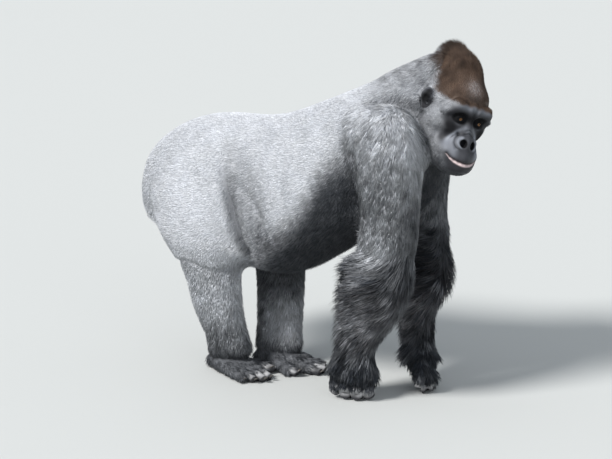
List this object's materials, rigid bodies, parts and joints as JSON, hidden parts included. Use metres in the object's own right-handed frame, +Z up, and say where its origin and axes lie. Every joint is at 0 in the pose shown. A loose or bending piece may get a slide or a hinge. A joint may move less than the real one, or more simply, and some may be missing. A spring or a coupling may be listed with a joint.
{
  "type": "gorilla figure",
  "caption": "Life-size standing silverback gorilla, a still model on its knuckles and soles with the head turned to its right.",
  "frame": {"origin": "on the floor, below the middle of the whole animal's box", "axes": "+X forward along the body, +Y to the animal's left, +Z up"},
  "size_m": [1.2504, 0.6444, 1.1569],
  "materials": {
    "silver_coat": "short silver-grey hair, lying flat",
    "dark_coat": "long charcoal hair in loose locks",
    "crown_coat": "short red-brown and grey hair",
    "bare_skin": "dark creased skin, slightly shiny",
    "eye": "wet and glossy"
  },
  "bodies": {
    "root": {"ear_left": "bare_skin", "ear_right": "bare_skin", "eye_left": "eye", "eye_right": "eye", "foot_left": "bare_skin", "foot_right": "bare_skin", "forearm_left": "dark_coat", "forearm_right": "dark_coat", "hand_left": "bare_skin", "hand_right": "bare_skin", "head": "crown_coat", "neck": "silver_coat", "shank_left": "dark_coat", "shank_right": "dark_coat", "thigh_left": "silver_coat", "thigh_right": "silver_coat", "trunk": "silver_coat", "upper_arm_left": "dark_coat", "upper_arm_right": "dark_coat"}
  },
  "joints": []
}
